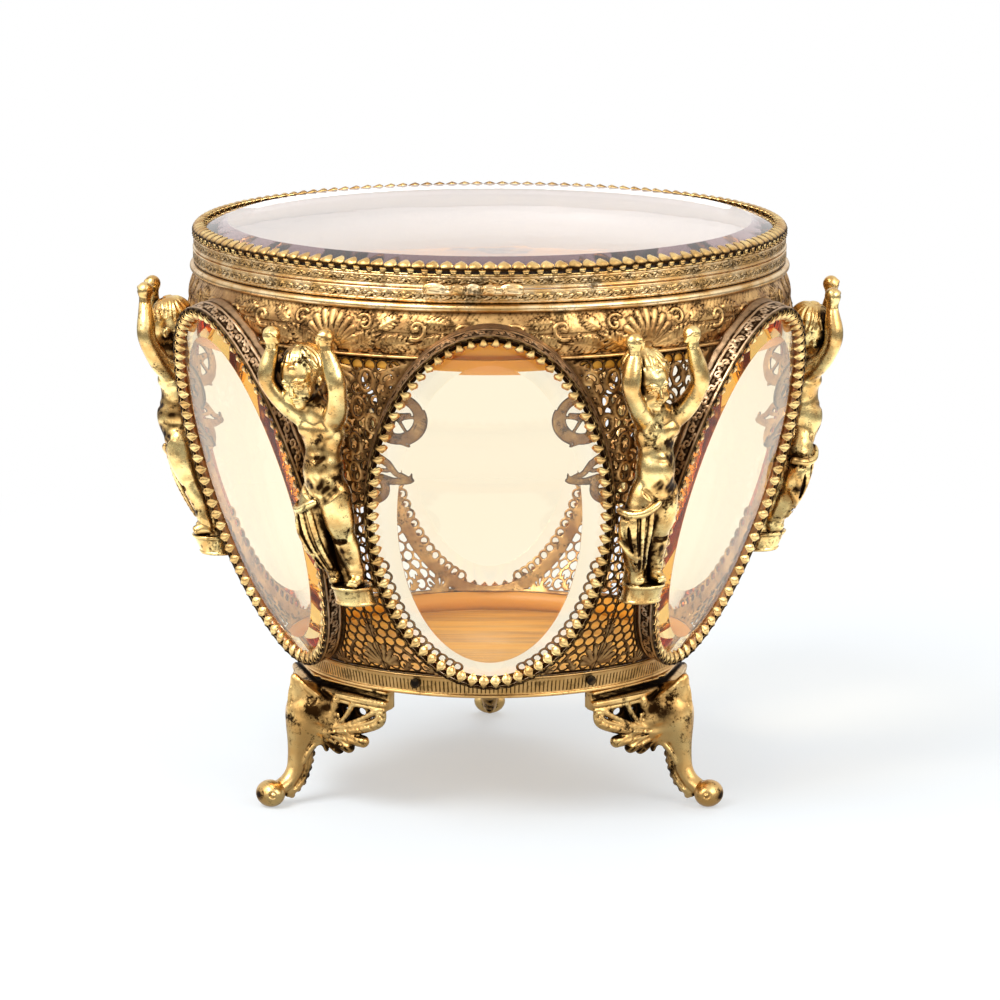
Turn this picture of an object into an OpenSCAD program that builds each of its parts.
// Round gilt-brass casket with oval bevelled windows, cherub supports and a hinged glass lid.
// Millimetres, +Z up. The origin is on the casket's axis at the level it stands on.
// The front is at -Y and the hinge at +Y. Angles go anticlockwise seen from above, from the front.

/* [Overall] */
// Height of the base band's lower edge above the table
leg_h = 32.8; // [24:0.1:50]
// Height of the base band
base_band_h = 5.6; // [4:0.1:9]
// Height of the pierced wall between the base band and the frieze
wall_h = 84.6; // [75:0.1:96]
// Height of the embossed frieze band
frieze_h = 11.6; // [8:0.1:18]
// Height of the plain and waved rim above the frieze
rim_h = 5.6; // [4:0.1:10]
// Radius of the lid band and of the rim below it
lid_r = 76; // [72:0.1:80]
// Thickness of the rolled brass bands
band_t = 1.2; // [0.8:0.1:2]

/* [Base] */
// Outer radius of the base band at its lower edge
base_r = 50; // [46:0.1:53]
// Thickness of the floor plate
floor_t = 1; // [0.6:0.1:2]
// Gap between the floor plate and the base band
floor_gap = 0.1; // [0.05:0.05:0.3]
// Radius of a stud's shank through the base band
stud_r = 0.75; // [0.4:0.05:1]
// Radius of a stud's head
stud_head_r = 1.25; // [1.1:0.05:2]
// Thickness of a stud's head
stud_head_t = 0.5; // [0.3:0.1:1]
// Gap round a stud's shank
stud_gap = 0.05; // [0.02:0.01:0.1]
// Height of the studs above the base band's lower edge
stud_up = 3.2; // [2:0.1:4]
// How far the left front stud was set off its place, in degrees
stud_slip = 8.5; // [0:0.5:10]

/* [Wall] */
// Radius of the round wall at its foot, past the base band's lower edge
wall_flare = 1.4; // [1:0.1:3]
// Thickness of the pierced wall panels
wall_t = 0.9; // [0.6:0.1:1.5]
// How far the wall swells out past a straight taper, between the windows
wall_bulge = 8.2; // [6:0.1:10]
// How far the flat behind a window sits inside the round wall's foot
flat_sink = 0.5; // [0.2:0.1:1.2]
// How far the top of the wall stands out past the lid band
wall_out = 0.2; // [0:0.05:0.4]
// How far the plane of a window stands out past the frieze's foot
flat_rise = 0.7; // [0.3:0.1:1.5]
// Number of flats, windows and cherubs
sides = 6; // [6:1:6]

/* [Windows] */
// Half width of a window's frame
frame_a = 30.6; // [28:0.1:31]
// How far a window's frame reaches below the wall's foot, along the slope
frame_foot = 0.8; // [0:0.1:1.5]
// How far it reaches above the frieze's foot, along the slope
frame_rise = 9.1; // [7:0.1:10]
// Thickness of the frame's strip
frame_t = 0.9; // [0.6:0.1:1.4]
// How far the frame's strip stands out from the wall
frame_d = 4.5; // [4:0.1:7]
// Gap between a frame and the pieces it is scribed to
scribe_gap = 0.1; // [0.05:0.05:0.3]
// Gap between a glass and the frame round it
glass_gap = 0.3; // [0.1:0.05:0.5]
// Width of the ledge of the wall that a glass rests on
ledge_w = 1.2; // [0.8:0.1:2]
// Gap between the wall and the glass on it
seat_gap = 0.1; // [0.05:0.05:0.3]
// Thickness of the window glass
glass_t = 4.6; // [3:0.1:6]
// Thickness of the window glass at its edge
glass_edge_t = 2.2; // [1.5:0.1:2.8]
// Width of the bevel round the window glass
bevel_w = 6.7; // [4:0.1:9]
// Thickness of the toothed rim that holds the glass
prong_t = 0.5; // [0.3:0.1:0.8]
// Length of a tooth
tooth_l = 2.6; // [1.5:0.1:3.2]
// Width of the rim between the frame's inner face and the roots of the teeth
tooth_rim = 0.3; // [0.2:0.05:0.6]
// Number of teeth round a window
window_teeth = 78; // [40:1:100]

/* [Pierced panels] */
// Radius of the scroll that curls into a window's upper corner
scroll_r = 5.2; // [4:0.1:6]
// Radius of the opening inside that scroll
scroll_hole_r = 2.6; // [1.5:0.1:3]
// Place of the scroll round the window's oval, in degrees above its middle
scroll_turn = 32; // [28:1:36]
// How far the scroll's centre lies inside the opening's edge
scroll_in = 2.4; // [1:0.1:3]
// Radius of the round leaf below the scroll
leaf_r = 4.2; // [3:0.1:5]
// Place of the round leaf round the window's oval, in degrees above its middle
leaf_turn = 7; // [3:1:12]
// Radius of the largest holes pierced beside a window
pierce_r = 1.9; // [1:0.1:2.2]

/* [Lid] */
// Gap between the closed lid and the rim
lid_gap = 0.2; // [0.1:0.05:0.4]
// Height of the lid band
lid_band_h = 3.1; // [2.5:0.1:5]
// Thickness of the lid band
lid_band_t = 1; // [0.8:0.1:1.5]
// Thickness of the ring that the lid glass rests on
seat_ring_t = 0.7; // [0.5:0.1:1.2]
// Width of that ring
seat_ring_w = 3.5; // [2:0.1:5]
// Thickness of the lid glass
lid_glass_t = 5.9; // [4:0.1:7]
// Thickness of the lid glass at its edge
lid_edge_t = 4; // [3:0.1:4]
// Width of the bevel round the lid glass
lid_bevel_w = 7.6; // [4:0.1:10]
// Height of the lid's row of teeth above the band
lid_tooth_h = 2.9; // [2:0.1:4]
// How far the teeth lean in over the glass
lid_tooth_in = 3.3; // [2:0.1:4]
// Number of teeth round the lid
lid_teeth = 136; // [60:1:160]
// Thickness of the teeth at their tips
tooth_tip_t = 0.5; // [0.3:0.1:0.8]
// Gap between the lid's teeth and the glass edge
tooth_gap = 0.3; // [0.1:0.1:0.6]

/* [Thumb-piece] */
// Width of the cast thumb-piece on the front of the lid
tab_w = 25; // [15:0.5:30]
// Thickness of the thumb-piece
tab_t = 1.6; // [1:0.1:2.5]
// Height of the thumb-piece's lobes
tab_h = 4.6; // [3:0.1:6]
// Number of lobes
tab_lobes = 5; // [3:1:7]
// Gap between the thumb-piece and the rim behind it
tab_gap = 0.3; // [0.2:0.05:0.5]
// How far the thumb-piece was set to the left of the front, in degrees
tab_turn = 3; // [0:0.5:6]

/* [Hinge] */
// Outer radius of the knuckles
knuckle_r = 2; // [1.6:0.05:2.5]
// Radius of the hinge pin
pin_r = 0.8; // [0.5:0.05:1.1]
// Running clearance round the pin
pin_gap = 0.05; // [0.02:0.01:0.1]
// Length of the hinge
hinge_l = 20; // [12:0.5:26]
// Gap between knuckles, end to end
knuckle_gap = 0.2; // [0.1:0.05:0.4]
// Gap between the knuckles and the bands beside them
hinge_gap = 0.3; // [0.25:0.05:0.5]
// Thickness of the hinge leaves
leaf_t = 0.8; // [0.5:0.1:1.2]

/* [Cherubs] */
// Height of the cherub's pedestal above the base band
cherub_up = 21.6; // [16:0.1:26]
// Radius of the half-round pedestal
pedestal_r = 5.2; // [4:0.1:6]
// Height of the pedestal
pedestal_h = 5; // [3:0.1:7]

/* [Feet] */
// Half the angle that a foot's moulded ledge covers, in degrees
foot_span = 31; // [20:1:40]
// Height of the moulded ledge
foot_ledge_h = 5.2; // [3:0.1:7]
// Half the angle that a foot's leaf wings cover, in degrees
wing_span = 26; // [20:1:28]
// How far the ledge stands out past the base band
foot_ledge_out = 1.6; // [0.5:0.1:3]
// Radius of the ball toe
toe_r = 3.5; // [2.5:0.1:5]
// How far the toe's centre stands out past the base band
toe_out = 14; // [8:0.1:18]
// Depth of the flat ground on the underside of each toe
toe_flat = 0.3; // [0.1:0.1:0.6]

/* [Hidden] */
$fn = 96;
oval_sides = 60;
lobe_sides = 20;
cast_fn = 10;
over = 1;
step_angle = 360 / sides;

// Heights of the joints between the rings
band_z = leg_h;
wall_z = band_z + base_band_h;
frieze_z = wall_z + wall_h;
rim_z = frieze_z + frieze_h;
seam_z = rim_z + rim_h;
lid_z = seam_z + lid_gap;
lid_top_z = lid_z + lid_band_h;

// Round wall: one arc from its foot to the frieze
wall_foot_r = base_r + wall_flare;
wall_top_r = lid_r + wall_out;
chord = sqrt(pow(wall_top_r - wall_foot_r, 2) + pow(wall_h, 2));
arc_r = (chord * chord / 4 + wall_bulge * wall_bulge) / (2 * wall_bulge);
arc_cr = (wall_foot_r + wall_top_r) / 2 - (arc_r - wall_bulge) * wall_h / chord;
arc_cz = wall_z + wall_h / 2 + (arc_r - wall_bulge) * (wall_top_r - wall_foot_r) / chord;
wall_steps = 8;
function wall_r(z) = arc_cr + sqrt(arc_r * arc_r - pow(z - arc_cz, 2));
function clamp_z(z) = min(max(z, wall_z), frieze_z);

// Flat behind each window
flat_foot_r = wall_foot_r - flat_sink;
flat_top_r = wall_top_r + flat_rise;
lean = atan((flat_top_r - flat_foot_r) / wall_h);
slope_l = wall_h / cos(lean);
frame_b = (slope_l + frame_foot + frame_rise) / 2;
window_up = (frame_b - frame_foot) * cos(lean);
window_z = wall_z + window_up;
window_r = flat_foot_r + window_up * tan(lean);

// Section of the base band: a roll at its foot and a lip under the wall
foot_roll_h = 0.8;
foot_roll_out = 0.3;
lip_h = 0.6;
lip_in = 0.4;
ease = 0.1;
stud_tail = 1;

// Sections of the frieze and the rim
frieze_out = 1.08;
frieze_bead = 0.9;
groove_d = 0.9;
roll_r = 1;
roll_in = 0.2;
arc_steps = 6;

// Glass sizes
pane_a = frame_a - frame_t - glass_gap;
pane_b = frame_b - frame_t - glass_gap;
opening_a = pane_a - ledge_w;
opening_b = pane_b - ledge_w;
lid_glass_r = lid_r - lid_band_t - glass_gap;
lid_glass_z = lid_z + seat_ring_t;
tooth_notch = 0.9 * lid_band_t;

// Hinge axis
hinge_y = lid_r + hinge_gap + knuckle_r;
hinge_z = seam_z + lid_gap / 2;
knuckles = 5;
knuckle_l = (hinge_l - (knuckles - 1) * knuckle_gap) / knuckles;
leaf_gap = 0.1;
web_gap = 0.4;
pin_head_l = 0.6;
pin_head_out = 0.5;

gilt = [0.86, 0.66, 0.33];
antique = [0.62, 0.46, 0.24];
dark_stud = [0.2, 0.16, 0.12];
window_tint = [0.98, 0.8, 0.55, 0.45];
lid_tint = [0.95, 0.92, 0.9, 0.45];

// A ring turned from radius and height pairs
module turned(points) {
    rotate_extrude()
        polygon(points);
}

// A plain ring
module ring(outer, inner, z, h) {
    turned([[inner, z], [outer, z], [outer, z + h], [inner, z + h]]);
}

function oval(a, b, n) = [for (i = [0:n - 1]) [a * cos(360 * i / n), b * sin(360 * i / n)]];

// An upright prism on an oval
module oval_block(a, b, z, h) {
    translate([0, 0, z])
        linear_extrude(h)
            polygon(oval(a, b, oval_sides));
}

// Turns a piece made for the front to its place round the casket
module round_to(turn) {
    rotate([0, 0, turn])
        children();
}

// Window i's own frame: X along the band, Y up the slope, Z out of the wall
module at_window(i) {
    round_to(step_angle * (i - 1))
        translate([0, -window_r, window_z])
            rotate([90 + lean, 0, 0])
                children();
}

// Section of the round wall from its foot to its top, moved in by a distance
function wall_arc(inset) = [for (k = [0:wall_steps])
    let (z = wall_z + wall_h * k / wall_steps) [wall_r(z) - inset, z]];

// Solid bounded by the round wall, grown by a distance
module round_core(grow) {
    turned(concat([[0, wall_z]], wall_arc(-grow), [[0, frieze_z]]));
}

// Everything on the inner side of the plane behind a window, grown by a distance
module inside_plane(grow) {
    reach = 4 * lid_r;
    translate([0, -window_r, window_z])
        rotate([90 + lean, 0, 0])
            translate([-reach / 2, -reach / 2, grow - reach])
                cube(reach);
}

// The wedge of one side, between the lines halfway to its neighbours
module side_wedge() {
    reach = 2 * lid_r;
    half = reach * tan(step_angle / 2);
    translate([0, 0, wall_z - over])
        linear_extrude(wall_h + 2 * over)
            polygon([[0, 0], [-half, -reach], [half, -reach]]);
}

// Filled section of the frieze with its rolled foot, grown by a distance
function frieze_section(grow) = concat(
    [[wall_top_r + frieze_bead + grow, frieze_z - grow],
     [wall_top_r + frieze_bead + grow, frieze_z + frieze_bead + grow]],
    [for (k = [0:arc_steps])
        let (s = k / arc_steps)
        [wall_top_r + frieze_out * sin(180 * s) - groove_d * s * s + grow,
         frieze_z + frieze_bead + grow + (frieze_h - frieze_bead - grow) * s]]);

module base_band() {
    color(gilt)
        difference() {
            turned([
                [base_r - band_t, band_z],
                [base_r + foot_roll_out, band_z],
                [base_r + foot_roll_out, band_z + foot_roll_h],
                [base_r, band_z + foot_roll_h + ease],
                [wall_foot_r - lip_in, wall_z - lip_h - ease],
                [wall_foot_r, wall_z - lip_h],
                [wall_foot_r, wall_z],
                [wall_foot_r - wall_t, wall_z]
            ]);
            for (i = [1:sides])
                stud_bore(i);
        }
}

// Turn of stud i: all lie under the cherubs but the last, at the left of the front
function stud_turn(i) = step_angle * (i - 0.5) + (i == sides ? stud_slip : 0);

module stud_bore(i) {
    round_to(stud_turn(i))
        translate([0, -base_r - 2 * band_t - wall_flare, band_z + stud_up])
            rotate([-90, 0, 0])
                cylinder(r = stud_r + stud_gap, h = 4 * band_t + 2 * wall_flare);
}

module floor_plate() {
    color(gilt)
        ring(base_r - band_t - floor_gap, 0, band_z, floor_t);
}

module base_studs() {
    face_r = base_r + (wall_foot_r - base_r) * stud_up / base_band_h;
    color(dark_stud)
        for (i = [1:sides])
            round_to(stud_turn(i))
                translate([0, -face_r - stud_head_t - stud_gap, band_z + stud_up])
                    rotate([-90, 0, 0]) {
                        cylinder(r = stud_head_r, h = stud_head_t);
                        cylinder(r = stud_r, h = stud_head_t + stud_gap + band_t + stud_tail);
                    }
}

module frieze_band() {
    color(antique)
        turned(concat(
            [[wall_top_r - band_t, frieze_z]],
            frieze_section(0),
            [[wall_top_r - band_t - groove_d, rim_z]]));
}

module body_rim() {
    color(gilt)
        turned(concat(
            [[lid_r - band_t, rim_z]],
            [for (k = [0:arc_steps])
                let (t = -90 + 180 * k / arc_steps)
                [lid_r - roll_in + roll_r * cos(t), rim_z + roll_r + roll_r * sin(t)]],
            [[lid_r, rim_z + 2 * roll_r + roll_in], [lid_r, seam_z], [lid_r - band_t, seam_z]]));
}

// One pierced side of the wall, with its oval opening and scrolls
module wall_panel(i) {
    color(antique)
        round_to(step_angle * (i - 1))
            difference() {
                intersection() {
                    round_core(0);
                    inside_plane(0);
                    side_wedge();
                }
                intersection() {
                    turned(concat(
                        [[0, wall_z - over], [wall_foot_r - wall_t, wall_z - over]],
                        wall_arc(wall_t),
                        [[wall_top_r - wall_t, frieze_z + over], [0, frieze_z + over]]));
                    inside_plane(-wall_t);
                }
                translate([0, -window_r, window_z])
                    rotate([90 + lean, 0, 0]) {
                        difference() {
                            oval_block(opening_a, opening_b, -2 * frame_a, 2.2 * frame_a);
                            scroll_corners();
                        }
                        pierced_holes();
                    }
            }
}

// A round bar through the wall at a turn round the window's oval, moved out by a distance
module through_wall(side, turn, out, r) {
    translate([side * (opening_a + out) * cos(turn), (opening_b + out) * sin(turn), -frame_a])
        cylinder(r = r, h = 2 * frame_a);
}

// The scrolls and round leaves that show behind a window's upper corners
module scroll_corners() {
    for (side = [-1, 1]) {
        difference() {
            through_wall(side, scroll_turn, -scroll_in, scroll_r);
            through_wall(side, scroll_turn, -scroll_in, scroll_hole_r);
        }
        through_wall(side, leaf_turn, 0, leaf_r);
    }
}

// Round holes pierced beside the window: each has its turn round the oval and its share of the size
module pierced_holes() {
    holes = [[38, 1], [50, 0.75], [-34, 0.6], [-42, 0.7], [-50, 0.8], [-57, 0.7]];
    for (side = [-1, 1])
        for (hole = holes)
            through_wall(side, hole[0], frame_a - opening_a + 1.6 * pierce_r, pierce_r * hole[1]);
}

module window_frame(i) {
    cut = frame_d + over;
    color(antique)
        round_to(step_angle * (i - 1))
            difference() {
                translate([0, -window_r, window_z])
                    rotate([90 + lean, 0, 0])
                        difference() {
                            oval_block(frame_a, frame_b, -frame_d, 2 * frame_d);
                            oval_block(frame_a - frame_t, frame_b - frame_t, -cut, 2 * cut);
                        }
                intersection() {
                    round_core(scribe_gap);
                    inside_plane(scribe_gap);
                }
                turned(concat([[0, frieze_z - scribe_gap]], frieze_section(scribe_gap), [[0, rim_z]]));
                turned([[0, band_z], [wall_foot_r + scribe_gap, band_z],
                    [wall_foot_r + scribe_gap, wall_z + scribe_gap], [0, wall_z + scribe_gap]]);
            }
}

// Flat toothed rim: a plain outer edge and a row of points over the glass
module toothed_rim(outer_a, outer_b, root, tip, count, z, h) {
    outline = oval(outer_a, outer_b, oval_sides);
    points = [for (k = [0:2 * count - 1])
        let (inset = k % 2 == 0 ? tip : root, t = 180 * k / count)
        [(outer_a - inset) * cos(t), (outer_b - inset) * sin(t)]];
    n = len(outline);
    m = len(points);
    translate([0, 0, z])
        linear_extrude(h)
            polygon(
                concat(outline, points),
                paths = [[for (k = [0:n - 1]) k], [for (k = [0:m - 1]) n + k]]);
}

module window_prongs(i) {
    root = frame_t + tooth_rim;
    color(gilt)
        at_window(i)
            toothed_rim(frame_a, frame_b, root, root + tooth_l, window_teeth, frame_d, prong_t);
}

module window_glass(i) {
    color(window_tint)
        at_window(i)
            translate([0, 0, seat_gap])
                hull() {
                    oval_block(pane_a, pane_b, 0, glass_edge_t);
                    oval_block(pane_a - bevel_w, pane_b - bevel_w, 0, glass_t);
                }
}

module lid_band() {
    color(gilt)
        ring(lid_r, lid_r - lid_band_t, lid_z, lid_band_h);
}

module lid_seat_ring() {
    color(gilt)
        ring(lid_r - lid_band_t, lid_r - lid_band_t - seat_ring_w, lid_z, seat_ring_t);
}

module lid_glass() {
    color(lid_tint)
        turned([
            [0, lid_glass_z],
            [lid_glass_r, lid_glass_z],
            [lid_glass_r, lid_glass_z + lid_edge_t],
            [lid_glass_r - lid_bevel_w, lid_glass_z + lid_glass_t],
            [0, lid_glass_z + lid_glass_t]
        ]);
}

// Row of leaning teeth that holds the lid glass
module lid_prongs() {
    tip_r = lid_r - lid_tooth_in;
    tip_z = lid_top_z + lid_tooth_h;
    stand = lid_glass_z + lid_edge_t + tooth_gap;
    color(gilt)
        difference() {
            turned([
                [lid_r - lid_band_t, lid_top_z],
                [lid_r, lid_top_z],
                [lid_r, stand],
                [tip_r, tip_z],
                [tip_r, tip_z - tooth_tip_t],
                [lid_r - lid_band_t, stand]
            ]);
            translate([0, 0, stand])
                linear_extrude(lid_top_z)
                    polygon([for (k = [0:2 * lid_teeth - 1])
                        let (r = k % 2 == 0 ? tip_r - roll_in : lid_r - tooth_notch, t = 180 * k / lid_teeth)
                        [r * cos(t), r * sin(t)]]);
        }
}

// Cast thumb-piece: a row of lobes on a strip, curved to the band
module lid_thumb_piece() {
    inner = lid_r + tab_gap;
    lobe_w = tab_w / tab_lobes;
    strip_h = tab_h / 2;
    color(gilt)
        round_to(-tab_turn)
            intersection() {
                ring(inner + tab_t, inner, lid_z - tab_h, 2 * tab_h);
                translate([0, -inner + inner / 4, lid_z])
                    rotate([90, 0, 0])
                        linear_extrude(inner / 2)
                            union() {
                                for (k = [0:tab_lobes - 1])
                                    translate([lobe_w * (k - (tab_lobes - 1) / 2), 0])
                                        polygon(oval(lobe_w / 2, tab_h / 2, lobe_sides));
                                square([tab_w - lobe_w, strip_h], center = true);
                            }
            }
}

function knuckle_x(k) = -hinge_l / 2 + k * (knuckle_l + knuckle_gap);

// Knuckles from first on, every second one, with an allowance
module barrel(first, r, grow) {
    for (k = [first:2:knuckles - 1])
        translate([knuckle_x(k) - grow, hinge_y, hinge_z])
            rotate([0, 90, 0])
                cylinder(r = r, h = knuckle_l + 2 * grow);
}

// Curved plate against a band, from z up by h
module hinge_plate(z, h) {
    intersection() {
        ring(lid_r + leaf_gap + leaf_t, lid_r + leaf_gap, z, h);
        translate([-hinge_l / 2, 0, z - over])
            cube([hinge_l, 2 * lid_r, h + 2 * over]);
    }
}

// Short webs that join the knuckles to their plate
module webs(first, z, h) {
    for (k = [first:2:knuckles - 1])
        translate([knuckle_x(k), lid_r + leaf_gap, z])
            cube([knuckle_l, hinge_gap + knuckle_r - leaf_gap, h]);
}

module hinge_bore() {
    translate([-hinge_l, hinge_y, hinge_z])
        rotate([0, 90, 0])
            cylinder(r = pin_r + pin_gap, h = 2 * hinge_l);
}

module body_hinge_leaf() {
    plate_h = rim_h - 2 * roll_r - 2 * roll_in;
    color(gilt)
        difference() {
            union() {
                barrel(0, knuckle_r, 0);
                difference() {
                    hinge_plate(seam_z - plate_h, plate_h - lid_gap / 2);
                    barrel(1, knuckle_r + hinge_gap, knuckle_gap);
                }
                webs(0, hinge_z - knuckle_r, knuckle_r - web_gap);
            }
            hinge_bore();
        }
}

module lid_hinge_leaf() {
    color(gilt)
        difference() {
            union() {
                barrel(1, knuckle_r, 0);
                difference() {
                    hinge_plate(lid_z + lid_gap, lid_band_h - 2 * lid_gap);
                    barrel(0, knuckle_r + hinge_gap, knuckle_gap);
                }
                webs(1, hinge_z + web_gap, knuckle_r - web_gap);
            }
            hinge_bore();
        }
}

module hinge_pin() {
    shank_l = hinge_l + 2 * knuckle_gap;
    color(gilt)
        translate([-shank_l / 2 - pin_head_l, hinge_y, hinge_z])
            rotate([0, 90, 0]) {
                cylinder(r = pin_r, h = shank_l + 2 * pin_head_l);
                cylinder(r = pin_r + pin_head_out, h = pin_head_l);
                translate([0, 0, shank_l + pin_head_l])
                    cylinder(r = pin_r + pin_head_out, h = pin_head_l);
            }
}

// A ball at a point given as sideways, out from the wall, up from the pedestal, and radius
module flesh(p) {
    z = wall_z + cherub_up + p[2];
    translate([p[0], -wall_r(clamp_z(z)) - p[1], z])
        sphere(r = p[3], $fn = cast_fn);
}

// Flesh drawn between each point and the next
module limb(points) {
    for (k = [0:len(points) - 2])
        hull() {
            flesh(points[k]);
            flesh(points[k + 1]);
        }
}

left_arm = [[-10.4, 11.2, 68.6, 2.3], [-10, 11, 64.2, 1.4], [-11.6, 11.4, 56.6, 1.8], [-4.8, 6, 47.6, 2.2]];
right_arm = [[5.4, 12.4, 69.4, 2.3], [5.4, 12, 65.2, 1.4], [8, 11, 56.4, 1.8], [4.4, 6, 47.8, 2.3]];
head = [[-4.6, 5.8, 60.6, 4.9], [-3.6, 7.4, 53.9, 3.3]];
torso = [[-0.2, 6, 49.6, 2.6], [-0.3, 4.4, 44.4, 4.5], [-0.4, 5.2, 35.4, 4.7], [-0.6, 5.4, 29.8, 4.6]];
standing_leg = [[1.8, 5.4, 28.4, 3.6], [1.8, 4.8, 19.8, 2.6], [2.8, 4.6, 9.4, 1.6], [3, 6.4, 6.2, 1.6]];
draped_leg = [[-2.6, 5.6, 27.6, 3.7], [-5, 5.6, 21.4, 3], [-1.6, 5.2, 10.6, 1.8]];
drape = [[-7.6, 5.6, 26.4, 1.9], [-5.8, 6.6, 18.4, 2.2], [-2.4, 5.6, 10.4, 1.5]];

// One standing cherub with raised arms on its half-round pedestal
module cherub(i) {
    pedestal_z = wall_z + cherub_up;
    color(gilt)
        round_to(step_angle * (i - 0.5))
            difference() {
                union() {
                    limb(left_arm);
                    limb(right_arm);
                    limb(head);
                    limb(torso);
                    limb(standing_leg);
                    limb(draped_leg);
                    limb(drape);
                    hull() {
                        flesh(left_arm[3]);
                        flesh(right_arm[3]);
                    }
                    translate([2.4, -wall_r(pedestal_z + pedestal_h / 2) - pedestal_r, pedestal_z])
                        cylinder(r = pedestal_r, h = pedestal_h, $fn = 24);
                }
                round_core(scribe_gap, $fn = 72);
            }
}

// A ball at a point given as sideways, out past the base band, height, and radius
module cast_ball(p) {
    translate([p[0], -base_r - p[1], p[2]])
        sphere(r = p[3], $fn = cast_fn);
}

module cast_bar(points) {
    for (k = [0:len(points) - 2])
        hull() {
            cast_ball(points[k]);
            cast_ball(points[k + 1]);
        }
}

// Cast foot: drops below the base band, heights above the table and widths of its points
knee_drop = 9;
shin_drop = 16;
ankle_z = 10.5;
heel_z = 6;
toe_rise = 0.4;
toe_neck = 1;
tip_rise = 2;
tip_drop = 4;
root_drop = 7;
root_side = 4;
leg = [
    [0, 2.4, leg_h - knee_drop, 5],
    [0, 3.2, leg_h - shin_drop, 4],
    [0, 4, ankle_z, 3],
    [0, 6, heel_z, 2.6],
    [0, toe_out - toe_neck, toe_r + toe_rise, 2.4]
];
leaf_tip = [[-3, 3, leg_h - tip_drop, 2.4], [0, 7, leg_h + tip_rise, 1.4], [3, 3, leg_h - tip_drop, 2.4]];

// Lobes of a foot's leaf wing: share of the wing's span, and how far the tip hangs below the ledge
wing_lobes = [[0.38, 11.5], [0.62, 9.5], [0.8, 7.6], [1, 5]];
lobe_r = 1.9;
lobe_tip_r = 1.5;
lobe_bend = 0.62;
lobe_out = 0.6;
end_drop = 4;
end_sink = 0.35;
end_turn = 2;

// Section of a foot's ledge
ledge_z = leg_h - foot_ledge_h;
ledge_in = 4;
ledge_foot_in = 2;
ledge_back_h = 2;
ledge_ease = 0.6;
ledge_roll = 1;
cove_h = 2.4;
cove_foot = 1.8;

// A ball on the base band's cylinder, at a turn from the foot's middle
module wing_ball(turn, out, z, r) {
    round_to(turn)
        translate([0, -base_r - out, z])
            sphere(r = r, $fn = cast_fn);
}

// A leaf lobe of the foot's wing, from the knee to its tip along the band
module wing_lobe(side, share, drop) {
    turn = side * wing_span * share;
    tip_z = ledge_z - drop;
    hull() {
        cast_ball([side * root_side, 0, ledge_z - root_drop, lobe_tip_r]);
        wing_ball(turn * lobe_bend, lobe_out, tip_z + lobe_tip_r, lobe_r);
    }
    hull() {
        wing_ball(turn * lobe_bend, lobe_out, tip_z + lobe_tip_r, lobe_r);
        wing_ball(turn, 0, tip_z, lobe_tip_r);
    }
}

// Moulded ledge of a foot, under the base band
module foot_ledge() {
    ledge_r = base_r + foot_ledge_out;
    rotate([0, 0, -90 - foot_span])
        rotate_extrude(angle = 2 * foot_span)
            polygon([
                [base_r - ledge_in, leg_h - scribe_gap],
                [base_r - ledge_in, leg_h - ledge_back_h],
                [base_r - ledge_foot_in, ledge_z],
                [ledge_r - ledge_ease, ledge_z],
                [ledge_r, ledge_z + ledge_roll],
                [ledge_r, leg_h - cove_h],
                [base_r, leg_h - cove_foot],
                [base_r, leg_h - scribe_gap]
            ]);
}

// One cast foot: moulded ledge, leaf wings, bent leg and ball toe
module foot(i) {
    color(gilt)
        round_to(2 * step_angle * i - step_angle)
            difference() {
                union() {
                    foot_ledge();
                    cast_bar(leg);
                    cast_bar(leaf_tip);
                    cast_ball([0, toe_out, toe_r - toe_flat, toe_r]);
                    for (side = [-1, 1]) {
                        for (lobe = wing_lobes)
                            wing_lobe(side, lobe[0], lobe[1]);
                        hull() {
                            wing_ball(side * wing_span, 0, ledge_z - end_drop, lobe_tip_r);
                            wing_ball(side * (foot_span - end_turn), 0, ledge_z - end_sink, lobe_tip_r);
                        }
                    }
                }
                translate([-lid_r, -2 * lid_r, -leg_h])
                    cube([2 * lid_r, 2 * lid_r, leg_h]);
                ring(wall_foot_r + scribe_gap, 0, leg_h, wall_h);
            }
}

base_band();
floor_plate();
base_studs();
frieze_band();
body_rim();
wall_panel(1);  // wall_panel_1
wall_panel(2);  // wall_panel_2
wall_panel(3);  // wall_panel_3
wall_panel(4);  // wall_panel_4
wall_panel(5);  // wall_panel_5
wall_panel(6);  // wall_panel_6
window_frame(1);  // window_frame_1
window_frame(2);  // window_frame_2
window_frame(3);  // window_frame_3
window_frame(4);  // window_frame_4
window_frame(5);  // window_frame_5
window_frame(6);  // window_frame_6
window_prongs(1);  // window_prongs_1
window_prongs(2);  // window_prongs_2
window_prongs(3);  // window_prongs_3
window_prongs(4);  // window_prongs_4
window_prongs(5);  // window_prongs_5
window_prongs(6);  // window_prongs_6
window_glass(1);  // window_glass_1
window_glass(2);  // window_glass_2
window_glass(3);  // window_glass_3
window_glass(4);  // window_glass_4
window_glass(5);  // window_glass_5
window_glass(6);  // window_glass_6
cherub(1);  // cherub_1
cherub(2);  // cherub_2
cherub(3);  // cherub_3
cherub(4);  // cherub_4
cherub(5);  // cherub_5
cherub(6);  // cherub_6
foot(1);  // foot_1
foot(2);  // foot_2
foot(3);  // foot_3
lid_band();
lid_seat_ring();
lid_glass();
lid_prongs();
lid_thumb_piece();
lid_hinge_leaf();
body_hinge_leaf();
hinge_pin();
